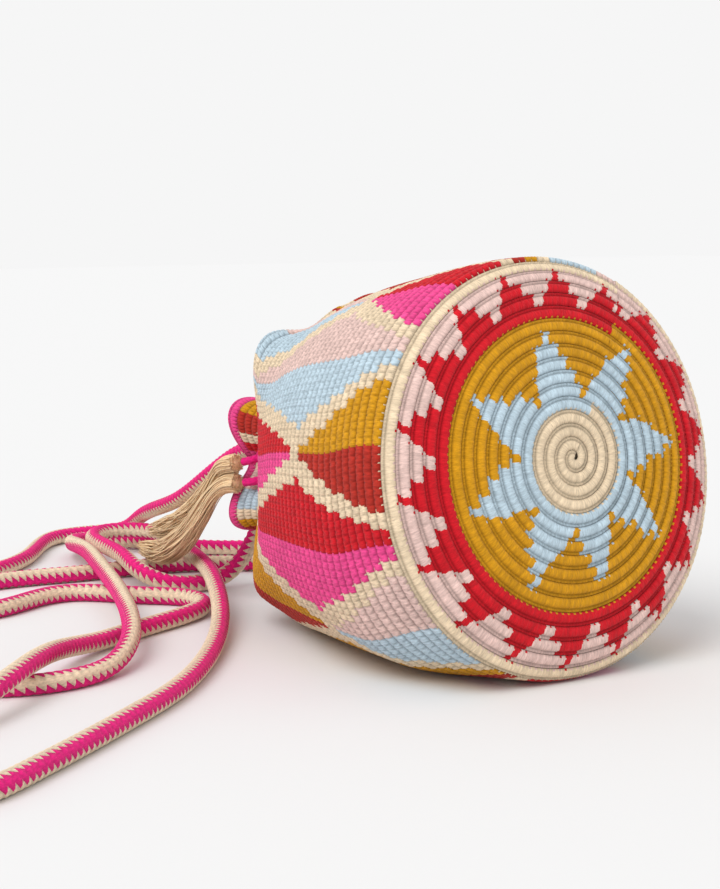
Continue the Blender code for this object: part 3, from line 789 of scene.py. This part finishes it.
def base_colour(number, angle):
    """Colour of a stitch of the base, from its round and its angle in degrees."""
    if number < STAR_FROM - 1 or number >= BORDER_FROM + len(BORDER_RED):
        return "cream"
    if number < STAR_FROM:
        return "blue"
    if number < STAR_FROM + len(STAR_BLUE):
        turn = STAR_TURN + STAR_DRIFT * math.cos(math.radians(angle - STAR_DRIFT_AT))
        blue = split(number, angle, STAR_FROM, STAR_POINTS, turn, STAR_STITCHES, STAR_BLUE)
        return "blue" if blue else "mustard"
    if number < BORDER_FROM:
        return "mustard" if number < BORDER_FROM - 1 else "red"
    red = split(number, angle, BORDER_FROM, BORDER_TEETH, BORDER_TURN, BORDER_STITCHES, BORDER_RED)
    return "red" if red else "pink"


# %% Pattern of the wall
# Turns, half widths and the cream band are in degrees, starts and ends in metres from the base plane, and
# the spread of the gems behind is in degrees for each metre past the place where they would be a point.
GEMS, GEM_TURN, GEM_SLANT_START, GEM_END, GEM_HALF = 7, 118.6, 0.0120, 0.0830, 16.5
GEM_SECTOR = 360.0 / GEMS
KITE_TIP_HALF, KITE_HALF, KITE_END = 2.5, 18.5, 0.2100
BEHIND_START, BEHIND_POINT, BEHIND_SPREAD, CREAM_BAND = 0.0890, 0.0800, 200.0, 6.5
CROWN_START, CROWN_HALF = 0.1950, 13.0
GEM_PAIRS = (("red", "magenta"), ("mustard", "brick"), ("pink", "blue"))
GEM_ORDER = (0, 1, 2, 0, 1, 0, 2)


def kite_half(t):
    """Half angle of the kites: they point to the base, are widest past the gems, and close at the neck."""
    opening = KITE_TIP_HALF + (KITE_HALF - KITE_TIP_HALF) * t / GEM_END
    closing = KITE_HALF * (KITE_END - t) / (KITE_END - GEM_END)
    return max(min(opening, closing), 0.0)


def crown_half(t):
    """Half angle of the gems at the ruffle, which open behind the kites."""
    return CROWN_HALF * min(max((t - CROWN_START) / (NECK - CROWN_START), 0.0), 1.0)


def gem_half(t):
    """Half angle of the gems, which narrow away from the base, and then of the gems behind them."""
    if t < BEHIND_START:
        return GEM_HALF * min(max((GEM_END - t) / (GEM_END - GEM_SLANT_START), 0.0), 1.0)
    between = max(kite_half(t), crown_half(t))
    return min(BEHIND_SPREAD * (t - BEHIND_POINT), GEM_SECTOR / 2 - CREAM_BAND - between)


def kite_pair(one, other):
    """The pair of colours that neither of a kite's neighbours has."""
    return next(k for k in range(len(GEM_PAIRS)) if k not in (one, other))


def wall_colour(number, angle):
    """Colour of a stitch of the wall or the ruffle, from its round and its angle in degrees."""
    t = float(on_outline(number + 0.5)[1])
    if number >= ROUNDS - 1:
        return "magenta"
    turn = (angle - GEM_TURN + GEM_SECTOR / 2) % 360.0
    sector = int(turn / GEM_SECTOR)
    across = turn - (sector + 0.5) * GEM_SECTOR
    pair = GEM_ORDER[sector]
    if abs(across) < gem_half(t):
        return GEM_PAIRS[(pair if t < BEHIND_START else pair - 1) % 3][across > 0]
    crown = t > KITE_END
    if GEM_SECTOR / 2 - abs(across) < (crown_half(t) if crown else kite_half(t)):
        beside = GEM_ORDER[(sector + (1 if across > 0 else -1)) % GEMS]
        return GEM_PAIRS[(kite_pair(pair, beside) - crown) % 3][across < 0]
    return "cream"


# %% [markdown]
# Every round has its own number of stitches: more and more over the base, and 168 on the wall. The
# stitches of a patterned round start where its pattern starts, so that no stitch has two colours. Hand-
# dyed yarn is never quite even, so each stitch is a little lighter or darker than the next.

# %% Stitches of a round
WALL_STITCHES = 168
FEWEST_STITCHES = 7
TONE_SPREAD = 0.045
TONE_SEED = 900


def repeat_start(repeats, turn, count, shown):
    """Angle of a repeat's first stitch: an odd colour has one stitch right on the border of the repeats."""
    return -turn + (180.0 / (repeats * count) if shown % 2 else 0.0)


def stitches_of(number):
    """How many stitches a round has, and the angle in degrees at which the first one starts."""
    if number >= BASE_ROUNDS:
        return WALL_STITCHES, GEM_TURN - GEM_SECTOR / 2
    star = number - STAR_FROM
    if 0 <= star < len(STAR_BLUE):
        count = STAR_STITCHES[star]
        return STAR_POINTS * count, repeat_start(STAR_POINTS, STAR_TURN, count, STAR_BLUE[star])
    step = number - BORDER_FROM
    if 0 <= step < len(BORDER_RED):
        count = BORDER_STITCHES[step]
        return BORDER_TEETH * count, repeat_start(BORDER_TEETH, BORDER_TURN, count, BORDER_RED[step])
    return max(int(round(WALL_STITCHES * (number + 0.75) / BASE_ROUNDS)), FEWEST_STITCHES), 0.0


# %% Colours of a round
def round_colours(number):
    """One colour for each stitch of a round."""
    count, first = stitches_of(number)
    rng = np.random.default_rng(TONE_SEED + number)
    pick = base_colour if number < BASE_ROUNDS else wall_colour
    names = [pick(number, first + 360.0 * (k + 0.5) / count) for k in range(count)]
    colours = np.array([linear(YARN[name]) for name in names])
    return colours * (1 + TONE_SPREAD * rng.standard_normal((count, 1)))


COLOURS = [round_colours(number) for number in range(ROUNDS + 1)]
print("stitches in all:", sum(stitches_of(number)[0] for number in range(ROUNDS)))

# %% [markdown]
# ## Stitch forms
#
# A stitch of the base is a plump bar with fibres across the round, and above it a thin twisted line. A
# stitch of the wall is a small V whose legs lean. Both could be a displacement image. A formula in
# stitches keeps every stitch whole where the round widens, and gives its hollows a darker painted shade
# as well. Colours change on slanted, toothed edges, because a stitch reaches into the round below.

# %% Stitch forms
LINE_START = 0.75
BASE_RISE = 0.0019
WALL_RISE = 0.0013
MIDDLE_HEIGHT = 0.6
LEG_HALF = 0.24


def shaded(height, power=1.0):
    """Painted shade: hollows between stitches are darker than their tops."""
    return 0.45 + 0.60 * np.clip(height, 0.0, 1.0) ** power


def bump(value, middle, half):
    """A rounded hill of height one."""
    return np.sqrt(np.clip(1 - ((value - middle) / half) ** 2, 0.0, 1.0))


def base_form(stitch, across):
    """Height and painted shade of the base's stitches: a band of slanted strands, and a thin twisted line."""
    slanted = stitch + 0.5 * across
    dimple = 1 - 0.22 * np.abs(2 * (slanted % 1.0) - 1) ** 4
    strands = 1 + 0.07 * np.cos(4 * np.pi * slanted)
    band = bump(across, 0.37, 0.38) ** 0.6 * dimple * strands
    line = 0.80 * bump(across, 0.875, 0.12) * (0.82 + 0.18 * np.sin(2 * np.pi * (2 * stitch + across)))
    height = np.maximum(np.maximum(band, line), 0.2)
    # Painted shade: the lower parts of a stitch are darker.
    return BASE_RISE * (height - MIDDLE_HEIGHT), shaded(height, 0.7)


def wall_form(stitch, across):
    """Height and painted shade of the wall's stitches: two legs opening upwards, a hollow between stitches.
    """
    beat = (stitch + 0.15 * across) % 1.0
    reach = 0.10 + 0.22 * across
    middles = (0.5 - reach, 0.5 + reach, 1.5 - reach, reach - 0.5)
    leg = np.maximum.reduce([bump(beat, middle, LEG_HALF) for middle in middles])
    body = 1 - 0.75 * np.abs(2 * across - 1) ** 5
    height = body * (0.35 + 0.65 * leg)
    # Painted shade: the lower parts of a stitch are darker.
    return WALL_RISE * (height - MIDDLE_HEIGHT), shaded(height)


# %% Edges of a stitch
def toothed(stitch, across, lean, bite):
    """Which stitch and round own a place: edges slant by the lean, and stitches reach down by the bite."""
    moved = stitch + lean * (across - 0.36 + (across > LINE_START))
    return moved, across < bite * np.abs(2 * (moved % 1.0) - 1) ** 2


# %% Eyelets
EYELETS = 2 * PLEATS
EYELET_REACH = 0.0036
EYELET_DEPTH = 0.0024
STRING_RADIUS = NECK_RADIUS - RUFFLE_WALL / 2


def eyelet_dips(points):
    """How far the fabric is drawn in round the places where the drawstring passes through it."""
    dips = np.zeros(points.shape[:-1])
    for k in range(EYELETS):
        angle = math.pi * (2 * k + 1) / EYELETS
        height = NECK_HEIGHT + STRING_RADIUS * math.sin(angle)
        place = (STRING_RADIUS * math.cos(angle), NECK + AXIS_SHIFT, height)
        away = np.linalg.norm(points - place, axis=-1)
        dips = np.maximum(dips, EYELET_DEPTH * np.exp(-(away / EYELET_REACH) ** 2))
    return dips


# %% One round of stitches
SETTLE_START, SETTLE_END = 0.6, 0.3
JUST_ABOVE_FLOOR = 0.0002
NECK_FROM = 30


def worked_round(number, columns, rows, form, lean, bite):
    """One round of stitches as a strip."""
    count, first = stitches_of(number)
    done, angle, across = round_places(number, count, columns, rows)
    stitch = (np.degrees(angle) - first) / 360.0 * count
    height, shade = form(stitch, across)
    points = outer(done, angle)
    out = facing(done, angle)
    settle = np.clip(done / SETTLE_START, 0.0, 1.0) * np.clip((ROUNDS - done) / SETTLE_END, 0.0, 1.0)
    if number > BASE_ROUNDS + NECK_FROM:
        height = height - eyelet_dips(points)
    points = points + out * (height * settle)[..., None]
    points[..., 2] = np.maximum(points[..., 2], JUST_ABOVE_FLOOR)
    middle = [(v[:-1, :-1] + v[1:, 1:]) / 2 for v in (stitch, across)]
    moved, below = toothed(*middle, lean, bite)
    own = COLOURS[number][np.floor(moved).astype(int) % count]
    if number:
        lower_count, lower_first = stitches_of(number - 1)
        at = (middle[0] / count * 360.0 + first - lower_first) / 360.0 * lower_count
        own = np.where(below[..., None], COLOURS[number - 1][np.floor(at).astype(int) % lower_count], own)
    return points, shade, own, np.stack([stitch, number + across], axis=2)


# %% Base and wall, worked round by round
STITCH_COLUMNS = 6
BASE_ROWS, BASE_LEAN, BASE_BITE = 8, 0.4, 0.16
WALL_ROWS, WALL_LEAN, WALL_BITE = 5, 0.3, 0.2
WALL_PIECES = {"front": (0, 15), "middle": (15, NECK_FROM), "neck": (NECK_FROM, WALL_ROUNDS + 1)}


def work(name, numbers, rows, form, lean, bite):
    strips = [worked_round(number, STITCH_COLUMNS, rows, form, lean, bite) for number in numbers]
    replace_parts(sew(name, strips, stitches, "crochet_yarn"), "bag_body")


work("base_stitches", range(BASE_ROUNDS), BASE_ROWS, base_form, BASE_LEAN, BASE_BITE)
for part, (first, last) in WALL_PIECES.items():
    numbers = range(BASE_ROUNDS + first, BASE_ROUNDS + last)
    work("wall_stitches_" + part, numbers, WALL_ROWS, wall_form, WALL_LEAN, WALL_BITE)

# %% [markdown]
# ## Inside of the bag
#
# Only the mouth shows the inside, and there the same colours show on low, plain ridges. Solidify would
# give the skin a thickness too, but it would copy every stitch inwards and cut through itself at the
# pleats. So the inner face is a plainer skin of the same rounds, a wall's thickness further in, with a
# narrow strip that joins it to the outer face round the rim.

# %% Inner face
INNER_RIDGE = 0.0005


def thickness(t):
    return WALL + (RUFFLE_WALL - WALL) * ease((t - PLEATS_START) / (NECK - PLEATS_START))


def inner_face():
    """The inner face as one strip, from the rim to the middle of the base."""
    done = np.linspace(ROUNDS, 0.0, 2 * ROUNDS + 1)
    angles = np.linspace(0.0, 2 * np.pi, WALL_STITCHES + 1)
    angle, rounds = np.meshgrid(angles, done)
    radius, t = on_outline(rounds)
    in_base = rounds < BASE_ROUNDS
    ridge = INNER_RIDGE * np.cos(2 * np.pi * rounds)
    radius = np.where(in_base, radius * (1 - WALL / CORNER[0]), radius - thickness(t) + ridge)
    depth = np.where(in_base, t + WALL + ridge, np.maximum(t, CORNER[1] + WALL))
    points = laid_down(radius, form_angle(angle, depth), depth, lowest=WALL)
    rim = outer(np.full((1, len(angles)), float(ROUNDS)), angles[None])
    points = np.concatenate([rim, points])
    rounds = np.concatenate([rounds[:1] + 0.5, rounds])
    stitch = np.repeat(angles[None] / (2 * np.pi) * WALL_STITCHES, len(rounds), axis=0)
    # Painted shade: darker between the ridges of the rounds.
    shade = 0.80 + 0.20 * np.cos(2 * np.pi * rounds)
    middles = np.clip((rounds[:-1, :-1] + rounds[1:, 1:]) / 2, 0.0, ROUNDS - 0.5).astype(int)
    colour = np.zeros((*middles.shape, 3))
    for number in range(ROUNDS):
        count, first = stitches_of(number)
        k = np.floor((np.degrees(angles[:-1]) - first) / 360.0 * count).astype(int) % count
        rows = np.nonzero(middles[:, 0] == number)[0]
        colour[rows] = COLOURS[number][k]
    return points, shade, colour, np.stack([stitch, rounds], axis=2)


lining = sew("inner_face", [inner_face()], stitches, "crochet_yarn")
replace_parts(lining, "bag_body")

# %% [markdown]
# ## Drawstring and tassels
#
# The drawstring runs in and out of the eyelets. Both its ends come out of one valley between the folds,
# and each ends in a tassel: a bound head and a bundle of loose threads. The folds cross the string's
# circle, so a plain circle already passes in and out of them, and the braid is the strap's, on a thinner
# line.

# %% Drawstring
STRING_DIAMETER = 0.0050
STRING_PITCH = 0.0034
STRING_STEP = 0.0008
STRING_SIDES = 12
STRING_TURN = 40.0
STRING_GAP = math.radians(9)
RING_POINTS = 121
UPPER_END = ((-0.0475, 0.2230, 0.0930), (-0.0500, 0.2290, 0.0915))
LOWER_END = ((-0.0470, 0.2225, 0.0800), (-0.0495, 0.2285, 0.0790))


def string_route():
    """From the lower end round the gathered neck, through every eyelet, to the upper end."""
    angles = math.pi + STRING_GAP + (2 * math.pi - 2 * STRING_GAP) * np.linspace(0.0, 1.0, RING_POINTS)
    heights = NECK_HEIGHT + STRING_RADIUS * np.sin(angles)
    ring = np.stack([STRING_RADIUS * np.cos(angles), np.full(RING_POINTS, NECK), heights], axis=1)
    return in_frame(np.vstack([LOWER_END[::-1], ring, UPPER_END]))


string_line = spread(string_route(), STRING_STEP)
drawstring = braid_cord("drawstring_braided", string_line, STRING_DIAMETER, STRING_PITCH, STRING_SIDES,
                        lambda share: np.full(len(share), STRING_TURN), linear(BRAID_MAGENTA),
                        string, "drawstring_braid")
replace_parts(drawstring, "drawstring")

# %% [markdown]
# Hair particles are quick for loose threads, but they are no mesh, and they would not keep to the bundle's
# form when the model is exported. So each thread is a thin tube. It keeps its own place in the bundle,
# with a wave of its own, and ends a little before or after its neighbours.

# %% Tassel routes
# Places on the bundle's middle line, each with the bundle's radius there.
UPPER_TASSEL = np.array([
    (-0.0518, 0.2335, 0.0904, 0.0056), (-0.0530, 0.2390, 0.0893, 0.0040), (-0.0532, 0.2440, 0.0882, 0.0056),
    (-0.0520, 0.2560, 0.0835, 0.0062), (-0.0480, 0.2700, 0.0690, 0.0075), (-0.0430, 0.2950, 0.0530, 0.0080),
    (-0.0350, 0.3300, 0.0385, 0.0080), (-0.0260, 0.3750, 0.0275, 0.0065), (-0.0210, 0.4050, 0.0225, 0.0045)])
LOWER_TASSEL = np.array([
    (-0.0514, 0.2330, 0.0782, 0.0056), (-0.0530, 0.2390, 0.0775, 0.0040), (-0.0542, 0.2440, 0.0762, 0.0052),
    (-0.0562, 0.2560, 0.0690, 0.0058), (-0.0580, 0.2680, 0.0510, 0.0073), (-0.0570, 0.2900, 0.0340, 0.0078),
    (-0.0530, 0.3200, 0.0215, 0.0075), (-0.0470, 0.3550, 0.0185, 0.0055), (-0.0420, 0.3800, 0.0175, 0.0040)])
TASSEL_STEP = 0.004


def tassel_path(table):
    """The bundle's middle line, and its radius at each point."""
    line = led_curve(in_frame(table[:, :3]), TASSEL_STEP)
    share = np.linspace(0.0, 1.0, len(line))
    return line, np.interp(share, np.linspace(0.0, 1.0, len(table)), table[:, 3])


# %% Threads
THREADS = 190
THREAD_RADIUS = 0.00036
THREAD_SIDES = 3
THREAD_TIP = 0.00005
FAN = 0.45
threads = yarn_material("tassel_thread", across=3.0, along=1.0, depth=0.0001)


def thread(line, radii, rng):
    """One thread as a strip: the upper threads fan out, and each has a length and a tone of its own."""
    side, up = across_path(line)
    share = np.linspace(0.0, 1.0, len(line))
    start = rng.uniform(0, 2 * np.pi)
    angle = start + 0.35 * np.sin(2 * np.pi * (share * rng.uniform(0.5, 1.2) + rng.uniform()))
    reach = math.sqrt(rng.uniform()) * (1.05 + 0.05 * np.sin(2 * np.pi * (share * 3 + rng.uniform())))
    fan = 1 + FAN * np.maximum(np.sin(angle), 0.0) * np.sin(np.pi * np.clip(share * 1.4, 0.0, 1.0))
    off = (radii * reach * fan)[:, None] * (side * np.cos(angle)[:, None] + up * np.sin(angle)[:, None])
    path = (line + off)[:int(len(line) * rng.uniform(0.80, 1.0))]
    angles = np.repeat(np.linspace(0, 2 * np.pi, THREAD_SIDES + 1)[None], len(path), axis=0)
    thin = np.full(angles.shape, THREAD_RADIUS)
    thin[-1] = THREAD_TIP
    grid = cord_grid(path, angles, thin)
    tone = rng.uniform(0.78, 1.05)
    colour = np.broadcast_to(np.array(linear(THREAD)) * tone, (len(path) - 1, THREAD_SIDES, 3))
    along = np.broadcast_to(np.arange(len(path))[:, None] + rng.uniform(0, 50), angles.shape)
    return grid, np.ones(angles.shape), colour, np.stack([angles, along], axis=2)


# %% Bound head
HEAD_POINTS = 6
HEAD_SIDES = 24
HEAD_STEP = 0.0004
HEAD_FILL = 0.92
HEAD_LEAST = 0.001
HEAD_TIP = 0.0002
WHIPPING = 0.4


def bound_head(line, radii):
    """The whipping that binds the threads to the cord's end: close turns of yarn."""
    fine = spread(np.column_stack([line, radii])[:HEAD_POINTS], HEAD_STEP)
    angles = np.repeat(np.linspace(0, 2 * np.pi, HEAD_SIDES + 1)[None], len(fine), axis=0)
    turns = np.broadcast_to(np.arange(len(fine))[:, None] * WHIPPING, angles.shape)
    wound = 1 + 0.07 * np.cos(2 * np.pi * turns + angles)
    heights = np.maximum(fine[:, 3:] * HEAD_FILL, HEAD_LEAST) * wound
    heights[0] = heights[-1] = HEAD_TIP
    grid = cord_grid(fine[:, :3], angles, heights)
    colour = np.broadcast_to(np.array(linear(THREAD)), (len(fine) - 1, HEAD_SIDES, 3))
    # Painted shade: the grooves between the turns of whipping are a little darker.
    return grid, 0.7 + 0.3 * wound, colour, np.stack([angles, turns], axis=2)


# %% Tassels
def tassel(name, table, node, seed):
    line, radii = tassel_path(table)
    rng = np.random.default_rng(seed)
    strips = [bound_head(line, radii)] + [thread(line, radii, rng) for _ in range(THREADS)]
    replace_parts(sew(name, strips, threads, "tassel_thread"), node)


tassel("tassel_upper_threads", UPPER_TASSEL, "tassel_upper", 41)
tassel("tassel_lower_threads", LOWER_TASSEL, "tassel_lower", 42)
